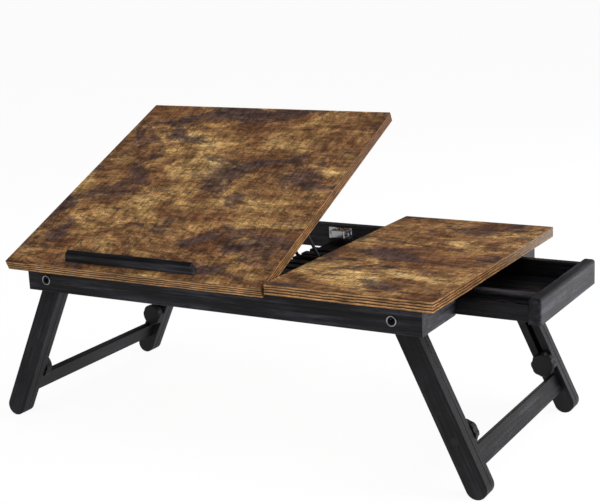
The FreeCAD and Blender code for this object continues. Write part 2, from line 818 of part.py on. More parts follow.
def make_rails(pivot_holes, hinge_tools, dowels, rack_tools, top_screws, catch_screws):
    """The two long rails, and the end rails between them beside the drawer's opening."""
    size = (d.top_width - 2 * d.frame_inset_side, d.rail_thickness, d.rail_height)
    shared = pivot_holes + dowels + rack_tools + top_screws
    for name, near, extra in (
        ("front_rail", frame_front, hinge_tools),
        ("back_rail", rail_inner_back, catch_screws),
    ):
        blank = board(name + "_board", size, d.rail_edge_radius, ALONG_X)
        move(blank, (frame_left, near, rail_bottom))
        keep(name, cut(name, blank, shared + extra))
    opening_near = drawer_near - d.drawer_side_gap
    opening_far = drawer_far + d.drawer_side_gap
    for name, left, thickness, near, far in (
        ("left_end_rail", frame_left, left_end_thickness, rail_inner_front, rail_inner_back),
        ("right_end_rail_front", end_rail_inside, right_end_thickness, rail_inner_front, opening_near),
        ("right_end_rail_back", end_rail_inside, right_end_thickness, opening_far, rail_inner_back),
    ):
        size = (thickness, far - near, d.rail_height)
        blank = board(name + "_board", size, d.rail_edge_radius, ALONG_Y)
        move(blank, (left, near, rail_bottom))
        keep(name, cut(name, blank, dowels))


def worktop(label, width):
    """A board with rounded corners in plan and eased edges."""
    body = board(label, (width, d.top_depth, d.top_thickness), d.top_corner_radius, ALONG_Z)
    round_edges(body, d.top_edge_radius, lambda edge: not runs_along(edge, ALONG_Z))
    return body


def make_top_screws():
    """Screws up through the long rails into the fixed top."""
    screws = []
    for near in (frame_front, rail_inner_back):
        for share in TOP_SCREW_SHARES:
            along = fixed_top_left + d.fixed_top_width * share
            spot = (along, near + d.rail_thickness / 2, rail_bottom)
            screws.append(screw("top_screw", spot, "z", d.rail_height + d.screw_grip))
    return screws


def make_batten(screws):
    """Batten under the fixed top's free edge."""
    length = frame_run - 2 * d.batten_end_gap
    near = rail_inner_front + d.batten_end_gap
    level = rail_top - d.batten_height
    own = []
    for share in BATTEN_SCREW_SHARES:
        spot = (batten_left + d.batten_width / 2, near + length * share, level)
        own.append(screw("batten_screw", spot, "z", d.batten_height + d.screw_grip))
    size = (d.batten_width, length, d.batten_height)
    blank = board("top_batten_board", size, d.rail_edge_radius, ALONG_Y)
    move(blank, (batten_left, near, level))
    keep("top_batten", cut("top_batten", blank, own))
    screws += own


def make_runners(screws):
    """Two folded steel runners that carry the drawer, screwed up into the fixed top."""
    level = rail_top - d.runner_thickness
    web_size = (runner_length, d.runner_thickness, d.rail_height)
    lip_size = (runner_length, d.runner_lip, d.runner_thickness)
    flange_size = (runner_length, d.runner_flange, d.runner_thickness)
    near_web = drawer_near - d.drawer_side_gap - d.runner_thickness
    far_web = drawer_far + d.drawer_side_gap
    far_side = far_web + d.runner_thickness
    for name, web, lip, flange in (
        ("drawer_runner_near", near_web, near_web, near_web + d.runner_thickness - d.runner_flange),
        ("drawer_runner_far", far_web, far_side - d.runner_lip, far_web),
    ):
        own = []
        for share in RUNNER_SCREW_SHARES:
            spot = (runner_left + runner_length * share, flange + d.runner_flange / 2, level)
            own.append(screw(name + "_screw", spot, "z"))
        sheet_metal = fuse(name + "_sheet", [
            box(name + "_web", (runner_left, web, rail_bottom), web_size),
            box(name + "_lip", (runner_left, lip, rail_bottom), lip_size),
            box(name + "_flange", (runner_left, flange, level), flange_size),
        ])
        keep(name, cut(name, sheet_metal, own))
        screws += own


def make_guides(screws):
    """Strips above the drawer's tall walls that keep it level when it is open."""
    level = rail_top - d.guide_height
    for name, near, width in (
        ("drawer_guide_near", divider_near, d.drawer_divider_thickness),
        ("drawer_guide_far", far_wall_near, d.drawer_far_thickness),
    ):
        own = []
        for share in RUNNER_SCREW_SHARES:
            spot = (runner_left + runner_length * share, near + width / 2, level)
            own.append(screw(name + "_screw", spot, "z", d.guide_height + d.screw_grip))
        size = (runner_length, width, d.guide_height)
        strip = box(name + "_strip", (runner_left, near, level), size)
        keep(name, cut(name, strip, own))
        screws += own


def make_stop_block(screws):
    """Block under the fixed top that the drawer's peg meets when the drawer is fully out."""
    peg_x = drawer_left + d.drawer_back_thickness / 2 - d.drawer_open
    left = peg_x + d.peg_radius + d.drawer_travel + d.drawer_close_gap
    near = drawer_middle - d.stop_block_width / 2
    level = rail_top - d.stop_block_height
    spot = (left + d.stop_block_length / 2, drawer_middle, level)
    own = screw("stop_block_screw", spot, "z", d.stop_block_height + d.screw_grip)
    size = (d.stop_block_length, d.stop_block_width, d.stop_block_height)
    block = box("stop_block", (left, near, level), size)
    keep("drawer_stop_block", cut("drawer_stop_block", block, [own]))
    screws.append(own)


def make_fixed_top(screws):
    body = worktop("fixed_top_board", d.fixed_top_width)
    move(body, (fixed_top_left, 0, rail_top))
    keep("fixed_top", cut("fixed_top", body, screws))


def make_stop_bar(screws):
    """Bevelled bar across the tilting top's lower edge, screwed on from below."""
    body = new_body("stop_bar_blank")
    section = new_sketch(body, "stop_bar_section", "YZ_Plane")
    outline(section, (
        (0, 0),
        (d.stop_depth, 0),
        (d.stop_depth, d.stop_back_height),
        (d.stop_face_slope, d.stop_front_height),
    ))
    pad(body, section, d.stop_length)
    ends = new_sketch(body, "stop_bar_ends", "XZ_Plane")
    outline(ends, ((0, 0), (0, d.stop_back_height), (d.stop_end_slope, d.stop_back_height)))
    outline(ends, (
        (d.stop_length, 0),
        (d.stop_length, d.stop_back_height),
        (d.stop_length - d.stop_end_slope, d.stop_back_height),
    ))
    before = body.Tip.Shape.Volume
    pocket = body.newObject("PartDesign::Pocket", "stop_bar_slopes")
    pocket.Profile = ends
    pocket.Type = "ThroughAll"
    pocket.Midplane = True
    document.recompute()
    body.Tip = pocket
    if not before > pocket.Shape.Volume:
        raise RuntimeError("the stop bar's ends are not cut")
    top_of_foot = d.stop_front_height.number / 2
    round_edges(body, d.stop_edge_radius, lambda edge: edge.BoundBox.ZMax > top_of_foot)
    near = d.stop_reach - hinge_y
    move(body, (stop_left, near, tilt_face))
    own = []
    for share in STOP_SCREW_SHARES:
        along = stop_left + d.stop_length * share
        spot = (along, near + (d.stop_depth + d.stop_face_slope) / 2, tilt_under)
        own.append(screw("stop_bar_screw", spot, "z", d.top_thickness + d.screw_grip))
    keep_tilted("stop_bar", cut("stop_bar", body, own))
    screws += own


def make_prop_brackets(screws):
    """Two angle brackets under the tilting top whose ears hold the prop's ends."""
    y = d.prop_pivot_reach
    z = -prop_drop
    ear_reach = d.prop_half_width + d.prop_bend_radius + d.ear_side_gap
    ear_height = tilt_under - z
    foot_level = tilt_under - d.ear_thickness
    for side, ear_left, foot_left_edge in (
        ("left", frame_middle - ear_reach - d.ear_thickness, frame_middle - ear_reach - d.ear_foot),
        ("right", frame_middle + ear_reach, frame_middle + ear_reach),
    ):
        name = f"prop_bracket_{side}"
        foot = box(
            name + "_foot", (foot_left_edge, y - d.ear_radius, foot_level),
            (d.ear_foot, 2 * d.ear_radius, d.ear_thickness),
        )
        ear = box(
            name + "_ear", (ear_left, y - d.ear_radius, z),
            (d.ear_thickness, 2 * d.ear_radius, ear_height),
        )
        end = cylinder(name + "_end", (ear_left, y, z), d.ear_radius, d.ear_thickness, "x")
        bore_radius = d.prop_wire_radius + d.running_clearance
        bore = cylinder(name + "_bore", (ear_left, y, z), bore_radius, d.ear_thickness, "x")
        own = screw(name + "_screw", (foot_left_edge + d.ear_foot / 2, y, foot_level), "z")
        keep_tilted(name, cut(name, fuse(name + "_sheet", [foot, ear, end]), [bore, own]))
        screws.append(own)


def make_keeper(screws):
    """Angle plate under the tilting top that the catch's shaft slides into."""
    left = catch_body_right + d.catch_shaft_stick + d.keeper_gap
    far = catch_plate_y - d.keeper_back_gap - hinge_y
    near = far - d.keeper_width
    hole_y = catch_y - hinge_y
    hole_z = catch_z - hinge_z
    low = hole_z - d.keeper_drop
    plate = box(
        "keeper_plate", (left, near, low), (d.keeper_thickness, d.keeper_width, tilt_under - low)
    )
    foot = box(
        "keeper_foot", (left, near, tilt_under - d.keeper_thickness),
        (d.keeper_foot, d.keeper_width, d.keeper_thickness),
    )
    hole_radius = d.catch_shaft_radius + d.keeper_hole_gap
    hole = cylinder("keeper_hole", (left, hole_y, hole_z), hole_radius, d.keeper_thickness, "x")
    middle = left + (d.keeper_foot + d.keeper_thickness) / 2
    spot = (middle, near + d.keeper_width / 2, tilt_under - d.keeper_thickness)
    own = screw("keeper_screw", spot, "z")
    keep_tilted("catch_keeper", cut("catch_keeper", fuse("keeper_angle", [plate, foot]), [hole, own]))
    screws.append(own)


def make_tilting_top(hinge_tools):
    """The tilting top and all that is screwed to it."""
    screws = []
    make_stop_bar(screws)
    make_prop_brackets(screws)
    make_keeper(screws)
    body = worktop("tilting_top_board", tilting_top_width)
    move(body, (0, -hinge_y, tilt_under))
    keep_tilted("tilting_top", cut("tilting_top", body, hinge_tools + screws))
    keep_tilted("panel_screws", group("panel_screws", screws))


def quarter_bend(label, centre, start):
    """A quarter ring of the prop's wire, from an angle in its own upright plane."""
    ring = document.addObject("Part::Torus", label)
    bind(ring, "Radius1", d.prop_bend_radius)
    bind(ring, "Radius2", d.prop_wire_radius)
    ring.Angle3 = RIGHT_ANGLE
    lie = Rotation(ALONG_X, RIGHT_ANGLE)
    spin = Rotation(ALONG_Y, -start)
    return move(ring, centre, spin.multiply(lie))


def make_prop():
    """Bent wire prop, laid out hanging straight down from its pivot."""
    wire = d.prop_wire_radius
    bend = d.prop_bend_radius
    half = d.prop_half_width
    leg = d.prop_length - 2 * bend
    stub = d.prop_stub_reach - bend
    pieces = [
        cylinder("prop_foot", (bend - half, 0, -d.prop_length), wire, 2 * (half - bend), "x"),
        quarter_bend("prop_left_heel", (bend - half, 0, bend - d.prop_length), 2 * RIGHT_ANGLE),
        quarter_bend("prop_right_heel", (half - bend, 0, bend - d.prop_length), 3 * RIGHT_ANGLE),
        quarter_bend("prop_left_shoulder", (-half - bend, 0, -bend), 0),
        quarter_bend("prop_right_shoulder", (half + bend, 0, -bend), RIGHT_ANGLE),
        cylinder("prop_left_leg", (-half, 0, bend - d.prop_length), wire, leg, "z"),
        cylinder("prop_right_leg", (half, 0, bend - d.prop_length), wire, leg, "z"),
        cylinder("prop_left_stub", (-half - d.prop_stub_reach, 0, 0), wire, stub, "x"),
        cylinder("prop_right_stub", (half + bend, 0, 0), wire, stub, "x"),
    ]
    keep("prop_wire", fuse("prop_wire", pieces), (frame_middle, prop_y, prop_z), ALONG_X, prop_swing)


def make_catch():
    """Box catch: a screwed plate with a rounded housing, and the shaft that slides in it."""
    plate = d.catch_plate_thickness
    body_size = (d.catch_body_length, d.catch_body_depth, d.catch_body_height)
    housing = board("catch_body", body_size)
    half_depth = d.catch_body_depth.number / 2
    round_edges(housing, d.catch_body_radius, lambda edge: edge.BoundBox.YMin < half_depth)
    body_near = catch_plate_y - d.catch_body_depth
    move(housing, (catch_body_left, body_near, catch_z - d.catch_body_height / 2))
    base = box(
        "catch_plate", (catch_left, catch_plate_y, catch_bottom), (d.catch_length, plate, d.catch_height)
    )
    bore_left = catch_body_left + d.catch_end_wall
    bore_length = d.catch_body_length - d.catch_end_wall
    bore_radius = d.catch_shaft_radius + d.running_clearance
    shaft_spot = (bore_left, catch_y, catch_z)
    bore = cylinder("catch_bore", shaft_spot, bore_radius, bore_length, "x")
    half_slot = d.catch_thumb_radius + d.catch_slot_gap
    slot_left = catch_body_left + d.catch_slot_inset
    slot = box(
        "catch_slot", (slot_left, catch_y - half_slot, catch_z),
        (d.catch_travel + 2 * half_slot, 2 * half_slot, d.catch_body_height / 2),
    )
    screws = [screw("catch_left_screw", (catch_left + d.catch_screw_inset, catch_plate_y, catch_z), "y")]
    for level in (catch_z - d.catch_screw_rise, catch_z + d.catch_screw_rise):
        spot = (catch_right - d.catch_screw_inset, catch_plate_y, level)
        screws.append(screw("catch_right_screw", spot, "y"))
    keep("catch_housing", cut("catch_housing", fuse("catch_frame", [base, housing]), [bore, slot] + screws))
    thumb_spot = (slot_left + half_slot, catch_y, catch_z)
    shaft_length = bore_length + d.catch_shaft_stick
    keep("catch_bolt", fuse("catch_bolt", [
        cylinder("catch_shaft", shaft_spot, d.catch_shaft_radius, shaft_length, "x"),
        cylinder("catch_thumb", thumb_spot, d.catch_thumb_radius, d.catch_thumb_reach, "z"),
    ]))
    return screws


def make_drawer():
    """Drawer without a near wall of full height: a low outer wall, a trough and a tall divider."""
    depth = d.drawer_depth
    size = (depth, d.drawer_far_thickness, drawer_wall_height)
    far = board("far_side_board", size, d.drawer_wall_radius, ALONG_X)
    keep("drawer_far_side", far, (drawer_left, far_wall_near, drawer_bottom))
    size = (depth, d.drawer_low_thickness, d.drawer_low_height)
    near = board("near_side_board", size, d.drawer_wall_radius, ALONG_X)
    keep("drawer_near_side", near, (drawer_left, drawer_near, drawer_bottom))
    inner_left = drawer_left + d.drawer_back_thickness
    inner_depth = depth - d.drawer_back_thickness
    across = far_wall_near - trough_near
    peg_spot = (
        drawer_left + d.drawer_back_thickness / 2, drawer_middle, drawer_wall_top - d.peg_depth
    )
    peg = cylinder("drawer_peg", peg_spot, d.peg_radius, d.peg_depth + d.peg_height, "z")
    back = board("back_board", (d.drawer_back_thickness, across, drawer_wall_height))
    move(back, (drawer_left, trough_near, drawer_bottom))
    keep("drawer_back", cut("drawer_back", back, [peg]))
    keep("drawer_stop_peg", group("drawer_stop_peg", [peg]))
    floor = board("floor_board", (inner_depth, across, d.drawer_floor_thickness))
    keep("drawer_floor", floor, (inner_left, trough_near, drawer_bottom))
    size = (inner_depth, d.drawer_divider_thickness, drawer_wall_top - drawer_floor_top)
    divider = board("divider_board", size)
    round_edges(
        divider, d.drawer_wall_radius,
        lambda edge: runs_along(edge, ALONG_X) and edge.BoundBox.ZMin > 0,
    )
    keep("drawer_divider", divider, (inner_left, divider_near, drawer_floor_top))
    front_width = d.drawer_width + d.drawer_front_near_lap + d.drawer_front_far_lap
    front = board("front_board", (d.drawer_front_thickness, front_width, drawer_front_height))
    round_edges(
        front, d.drawer_front_top_radius,
        lambda edge: runs_along(edge, ALONG_Y) and edge.BoundBox.ZMin > 0,
    )
    round_edges(
        front, d.drawer_front_end_radius,
        lambda edge: runs_along(edge, ALONG_Z) and edge.BoundBox.XMin > 0,
    )
    spot = (drawer_face, drawer_near - d.drawer_front_near_lap, drawer_front_bottom)
    keep("drawer_front", front, spot)


def make_leg_frame(side, pivot, axis, outward):
    """One leg frame, laid out hanging straight down from its pivot and then splayed."""
    half = d.leg_width / 2
    pivot_spot = (pivot, 0, pivot_level)
    clamps, pins, extensions, tenons = [], [], [], []
    across = d.crossbar_offset * outward
    tenon_left = across - d.tenon_thickness / 2
    tenon_low = -crossbar_reach - d.tenon_height / 2
    for end, inner, sign, direction in (
        ("front", rail_inner_front, 1, "y"),
        ("back", rail_inner_back, -1, "-y"),
    ):
        name = f"{side}_{end}"
        leg_face = inner + sign * d.leg_side_gap
        mating_face = inner + sign * leg_depth
        board_face = inner + sign * extension_near
        inside_face = inner + sign * extension_far
        bore_radius = d.bolt_radius + d.running_clearance
        bore = cylinder(name + "_pivot_bore", (0, leg_face, 0), bore_radius, d.leg_thickness, direction)
        spot = (0, leg_face, -clamp_reach)
        shank_length = (
            d.leg_thickness + d.extension_gap + d.extension_thickness + d.knob_gap + d.knob_bolt_depth
        )
        shank = cylinder(name + "_clamp_shank", spot, d.bolt_radius, shank_length, direction)
        head = cylinder(name + "_clamp_head", spot, d.clamp_head_radius, d.clamp_head_height, direction)
        clamp = fuse(name + "_clamp", [shank, head])
        clamps.append(clamp)
        low_face = leg_face if sign > 0 else mating_face
        leg = round_board(
            name + "_leg_board", 0, -d.leg_reach, half, low_face, d.leg_thickness, d.leg_edge_radius
        )
        groove_depth = d.guide_pin_depth + d.guide_groove_end_gap
        groove_low = mating_face - groove_depth if sign > 0 else mating_face
        groove = round_board(
            name + "_guide_groove", -d.extension_top_reach, -d.extension_top_reach - extension_travel,
            d.guide_pin_radius + d.guide_groove_gap, groove_low, groove_depth,
        )
        leg = cut(name + "_leg", leg, [bore, clamp, groove])
        keep(name + "_leg", leg, pivot_spot, axis, d.leg_splay_angle)
        pin_spot = (0, mating_face - sign * d.guide_pin_depth, -d.extension_top_reach)
        pin_length = d.guide_pin_depth + d.extension_gap + d.tenon_length
        pin = cylinder(name + "_guide_pin", pin_spot, d.guide_pin_radius, pin_length, direction)
        pins.append(pin)
        low_face = board_face if sign > 0 else inside_face
        plank = round_board(
            name + "_extension_board", -d.extension_top_reach, -d.leg_reach, half, low_face,
            d.extension_thickness, d.leg_edge_radius,
        )
        slot = round_board(
            name + "_slot", -slot_top_reach, -clamp_reach, d.bolt_radius + d.slot_gap,
            low_face, d.extension_thickness,
        )
        tenon_near = inside_face - d.tenon_length if sign > 0 else inside_face
        tenon = box(
            name + "_tenon", (tenon_left, tenon_near, tenon_low),
            (d.tenon_thickness, d.tenon_length, d.tenon_height),
        )
        tenons.append(tenon)
        extensions.append((name + "_extension", cut(name + "_extension", plank, [slot, pin, tenon])))
        make_knob(name, inside_face + sign * d.knob_gap, direction, sign, pivot_spot, axis)
    for label, item in extensions:
        keep(label, item, pivot_spot, axis, d.leg_splay_angle)
    run = frame_run - 2 * extension_far
    bar = board(
        side + "_crossbar_board", (d.crossbar_thickness, run, d.crossbar_height),
        d.crossbar_edge_radius, ALONG_Y,
    )
    bar_left = across - d.crossbar_thickness / 2
    move(bar, (bar_left, rail_inner_front + extension_far, -crossbar_reach - d.crossbar_height / 2))
    crossbar = fuse(side + "_crossbar", [bar] + tenons)
    keep(side + "_crossbar", crossbar, pivot_spot, axis, d.leg_splay_angle)
    keep(side + "_guide_pins", group(side + "_guide_pins", pins), pivot_spot, axis, d.leg_splay_angle)
    keep(side + "_clamp_bolts", group(side + "_clamp_bolts", clamps), pivot_spot, axis, d.leg_splay_angle)


def make_knob(name, face, direction, sign, pivot_spot, axis):
    """Round fluted knob on a clamp bolt, against the inside of the extension board."""
    level = -clamp_reach
    rim_face = face + sign * d.knob_neck_height
    bevel_face = rim_face + sign * (d.knob_height - d.knob_bevel)
    rim_height = d.knob_height - d.knob_bevel
    neck = cylinder(
        name + "_knob_neck", (0, face, level), d.knob_neck_radius, d.knob_neck_height, direction
    )
    rim = cylinder(name + "_knob_rim", (0, rim_face, level), d.knob_radius, rim_height, direction)
    crown = cone(
        name + "_knob_crown", (0, bevel_face, level), d.knob_radius, d.knob_radius - d.knob_bevel,
        d.knob_bevel, direction,
    )
    bore_radius = d.bolt_radius + d.running_clearance
    bore_depth = d.knob_bolt_depth + d.knob_gap
    tools = [cylinder(name + "_knob_bore", (0, face, level), bore_radius, bore_depth, direction)]
    flute_circle = d.knob_radius + d.flute_offset
    for index in range(FLUTE_COUNT):
        angle = as_size(FULL_TURN * index / FLUTE_COUNT)
        spot = (flute_circle * cosine(angle), rim_face, level + flute_circle * sine(angle))
        tools.append(cylinder(
            f"{name}_flute_{index}", spot, d.flute_radius, d.knob_height, direction
        ))
    knob = cut(name + "_knob", fuse(name + "_knob_blank", [neck, rim, crown]), tools)
    keep(name + "_knob", knob, pivot_spot, axis, d.leg_splay_angle)


def check_and_write():
    """Stop at any failed object, then write one file for each finished piece."""
    document.recompute()
    for item in document.Objects:
        if "Invalid" in item.State or "Error" in item.State:
            raise RuntimeError(f"{item.Label} has failed: {item.State}")
    os.makedirs("parts", exist_ok=True)
    for label, item in parts.items():
        shape = item.Shape
        if shape.isNull() or not shape.isValid() or not shape.Solids:
            raise RuntimeError(f"{label} has no valid solid")
        shape.exportStep(f"parts/{label}.step")


dowel_set = make_dowels()
pivot_hole_set = make_pivot_hardware()
hinge_frame_tools, hinge_panel_tools = make_hinges()
frame_screw_set = []
rack_cuts = make_rack(frame_screw_set)
top_screw_set = make_top_screws()
catch_screw_set = make_catch()
make_rails(
    pivot_hole_set, hinge_frame_tools, dowel_set, rack_cuts, top_screw_set, catch_screw_set
)
make_batten(top_screw_set)
make_runners(top_screw_set)
make_guides(top_screw_set)
make_stop_block(top_screw_set)
make_fixed_top(top_screw_set)
keep("frame_screws", group("frame_screws", frame_screw_set + top_screw_set + catch_screw_set))
make_tilting_top(hinge_panel_tools)
make_prop()
make_drawer()
make_leg_frame("left", pivot_left, ALONG_Y, -1)
make_leg_frame("right", pivot_right, -ALONG_Y, 1)
check_and_write()
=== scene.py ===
import math
from collections import namedtuple

import bpy
from mathutils import Matrix, Vector


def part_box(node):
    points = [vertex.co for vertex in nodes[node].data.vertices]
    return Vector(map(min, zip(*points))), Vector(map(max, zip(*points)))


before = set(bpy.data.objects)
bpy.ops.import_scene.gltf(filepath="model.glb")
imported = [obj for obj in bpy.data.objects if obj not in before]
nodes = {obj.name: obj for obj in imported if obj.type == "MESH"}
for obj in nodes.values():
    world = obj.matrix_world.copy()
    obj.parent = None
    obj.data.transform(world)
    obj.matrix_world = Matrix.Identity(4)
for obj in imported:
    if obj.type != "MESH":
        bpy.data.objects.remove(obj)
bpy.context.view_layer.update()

# Looks of the laptop stand: printed boards with lined edge bands, dark stained wood, metal
# fittings, a soft white studio and the camera. Lengths are in metres and angles in degrees.

scene = bpy.context.scene


def srgb(red, green, blue):
    """A colour given in screen values of 0 to 255, as the shader's linear values."""
    linear = []
    for value in (red, green, blue):
        share = value / 255
        linear.append(share / 12.92 if share <= 0.04045 else ((share + 0.055) / 1.055) ** 2.4)
    return (*linear, 1.0)


# Measures of the model that the materials follow
TILT_ANGLE = 24.0
LEG_SPLAY = 25.4
BOARD_THICKNESS = 0.012
ALONG_X = (1, 0, 0)
ALONG_Y = (0, 1, 0)
ALONG_LEFT_LEG = (-math.sin(math.radians(LEG_SPLAY)), 0, -math.cos(math.radians(LEG_SPLAY)))
ALONG_RIGHT_LEG = (math.sin(math.radians(LEG_SPLAY)), 0, -math.cos(math.radians(LEG_SPLAY)))

# Camera, placed from the part's origin
CAMERA_SPOT = Vector((0.7745, -1.2955, 0.5706))
CAMERA_AZIMUTH = 30.49
CAMERA_ELEVATION = 13.69
CAMERA_ROLL = -2.6
CAMERA_FOCAL_PIXELS = 1308.7
CAMERA_CLIP_END = 100
IMAGE_WIDTH = 600
SENSOR_WIDTH = 36.0

# Lamps by name, place, size across and power in watts, and the spot that all of them face
LAMPS = (
    ("right_light", (2.0, 0.5, 0.5), 1.3, 58),
    ("back_right_light", (1.1, 1.7, 0.5), 1.2, 16),
    ("top_light", (0.4, -0.4, 2.2), 1.6, 15),
    ("front_light", (-0.6, -2.0, 1.0), 1.5, 10),
)
LIT_SPOT = (0.0, 0.0, 0.15)

# Backdrop: the direction in which it is brightest, the range of that direction over which it
# brightens, and its strengths at both ends as light, in reflections and as the camera sees it
BACKDROP_BRIGHT_SIDE = (0.85, 0.50, -0.20)
BACKDROP_RANGE = (0.0, 0.9)
BACKDROP_LIGHT = (0.40, 0.85)
BACKDROP_REFLECTED = (0.07, 0.70)
BACKDROP_SEEN = 1.0

# Floor: its own look, its glow in reflections, brighter towards one side, and its glow as the
# camera sees it. The shares say how much of the glow takes the place of the floor's own look.
FLOOR_SIZE = 60
FLOOR_COLOUR = (0.8, 0.8, 0.8, 1)
FLOOR_ROUGHNESS = 0.9
FLOOR_BRIGHT_SIDE = (0.50, 0.86, 0.0)
FLOOR_RANGE = (-0.5, 0.8)
FLOOR_REFLECTED = (0.25, 0.8)
FLOOR_REFLECTED_SHARE = 0.8
FLOOR_SEEN = 1.03
FLOOR_SEEN_SHARE = 0.90

# A noise pattern: its scale, how it is stretched along X, Y and Z, and its texture's settings
Pattern = namedtuple(
    "Pattern", "scale stretch detail roughness distortion", defaults=(None, 4.0, 0.55, 0.0)
)
NOISE_MIDDLE = 0.5

# A fine finish: its pattern, how much that adds to the roughness, and its relief. A relief is
# the height of its bumps and its strength.
Finish = namedtuple("Finish", "pattern roughness relief")

# Print of the boards, from its largest forms to its smallest. Colours and shades are given as
# (value of the pattern, colour or factor), and shares say how strongly a layer covers.
CLOUDS = Pattern(17, (0.8, 1.1, 1), 7, 0.68, 0.7)
CLOUD_COLOURS = (
    (0.34, srgb(88, 58, 38)),
    (0.43, srgb(114, 79, 51)),
    (0.50, srgb(142, 104, 66)),
    (0.57, srgb(172, 134, 82)),
    (0.68, srgb(198, 162, 108)),
)
REDS = Pattern(11, (0.9, 1.2, 1), 5, 0.6, 0.5)
RED_SHARE = ((0.52, 0.0), (0.60, 0.50))
RED_COLOUR = srgb(118, 76, 48)
STAINS = Pattern(14, (0.7, 1.2, 1), 9, 0.68, 0.6)
STAIN_SHARE = ((0.515, 0.0), (0.55, 0.62), (0.62, 0.90))
STAIN_COLOUR = srgb(72, 56, 56)
STROKES = Pattern(1.0, (36, 150, 150), 8, 0.80, 0.25)
STROKE_SHADE = ((0.37, 0.40), (0.46, 0.80), (0.53, 1.10), (0.63, 1.58))
SAW_MARKS = Pattern(1.0, (240, 60, 240), 4, 0.72)
SAW_MARK_SHADE = ((0.38, 0.50), (0.50, 1.0), (0.63, 1.42))
SAW_MARK_SHARE = 0.8
CRACKS = Pattern(1.0, (26, 64, 64), 7, 0.70, 0.9)
CRACK_SHARE = ((0.0, 0.9), (0.024, 0.0))
CRACK_BREAKS = Pattern(50, detail=2)
CRACK_BREAK_SHARE = ((0.42, 0.0), (0.50, 1.0))
CRACK_COLOUR = srgb(38, 26, 20)
SPECKS = Pattern(1.0, (300, 420, 420), 2)
SPECK_SHARE = ((0.62, 0.0), (0.68, 0.7))
SPECK_COLOUR = srgb(40, 28, 22)
PRINT_SEED_STEP = (1.0, 1.7, 0.0)
FIXED_SEED = 3.1
TILTED_SEED = 7.7

# Gloss and relief of the boards
BOARD_ROUGHNESS = 0.46
BOARD_STROKE_ROUGHNESS = 0.2
BOARD_SPECULAR = 0.2
BOARD_CRACK_DEPTH = 0.6
BOARD_RELIEF = (0.0003, 0.4)

# Edge band: dark and pale lines by their share of the thickness, waver, fibre and smudges
BAND_LINE = srgb(54, 30, 16)
BAND_GOLD = srgb(160, 116, 72)
BAND_PALE = srgb(192, 149, 101)
BAND_COLOURS = (
    (0.00, srgb(66, 38, 20)),
    (0.07, BAND_GOLD),
    (0.17, BAND_PALE),
    (0.22, BAND_LINE),
    (0.27, BAND_LINE),
    (0.33, BAND_GOLD),
    (0.43, BAND_PALE),
    (0.48, BAND_LINE),
    (0.53, BAND_LINE),
    (0.58, BAND_GOLD),
    (0.66, BAND_PALE),
    (0.71, BAND_LINE),
    (0.75, BAND_LINE),
    (0.81, BAND_GOLD),
    (0.91, BAND_PALE),
    (0.97, srgb(120, 82, 50)),
)
BAND_WAVER = Pattern(1.0, (30, 30, 60), 5, 0.6)
BAND_WAVER_HEIGHT = 0.0034
BAND_FIBRE = Pattern(1.0, (60, 60, 800), 7, 0.80)
BAND_FIBRE_SHADE = ((0.38, 0.35), (0.50, 1.0), (0.64, 1.45))
BAND_SMUDGES = Pattern(34, None, 7, 0.7)
BAND_SMUDGE_SHADE = ((0.40, 0.55), (0.60, 1.25))
BAND_SMUDGE_SHARE = 0.85

# The band takes a painted tone towards the board's far end: a pale painted highlight on the fixed
# board and a darker painted shade on the tilted one. Its left and right edges are darkened by
# painted shade. A dark seam runs along the corner between band and print.
FIXED_FAR_PAINTED_HIGHLIGHT = srgb(150, 136, 126)
TILTED_FAR_PAINTED_SHADE = srgb(118, 84, 62)
FAR_PAINTED_LIGHT_SHARE = ((0.45, 0.0), (0.90, 0.8))
FAR_PAINTED_LIGHT_FIBRE_SHARE = 0.6
SIDE_BAND_PAINTED_SHADE = (0.42, 0.38, 0.32, 1.0)
IS_ALIGNED = ((0.70, 0.0), (0.90, 1.0))
SEAM_SHARE = ((0.15, 0.0), (0.45, 0.7), (0.75, 0.7), (0.97, 0.0))
SEAM_COLOUR = srgb(54, 36, 24)

# Dark stains of the wood, as screen values of the wood and of its lighter grain
RAIL_STAIN = ((25, 25, 30), (50, 50, 58))
LEG_STAIN = ((17, 17, 20), (37, 37, 43))
DRAWER_STAIN = ((14, 14, 17), (28, 28, 33))
DIVIDER_STAIN = ((38, 38, 42), (66, 66, 72))

# Grain of the dark wood, which runs along X before it is turned
GRAIN = Pattern(1.0, (10, 210, 210), 6, 0.66, 0.25)
GRAIN_CLOUDS = Pattern(16, detail=3)
GRAIN_CLOUD_SHARE = 0.3
GRAIN_STOPS = (0.38, 0.49, 0.61)
GRAIN_DARKEST = 0.4
GRAIN_LINES = Pattern(1.0, (5, 520, 520), 3, 0.6)
GRAIN_LINE_SHADE = ((0.38, 0.45), (0.50, 1.0), (0.62, 1.6))
GRAIN_LINE_SHARE = 0.8
PORES = Pattern(1.0, (60, 1100, 1100), 2, 0.5)
PORE_SHARE = ((0.56, 0.0), (0.66, 0.8))
PORE_COLOUR = srgb(6, 6, 8)
PORE_DEPTH = 0.8
WOOD_ROUGHNESS = 0.26
WOOD_GRAIN_ROUGHNESS = 0.3
WOOD_SPECULAR = 0.4
WOOD_RELIEF = (0.0003, 0.4)
WOOD_SEED_STEP = (1.0, 0.7, 1.3)

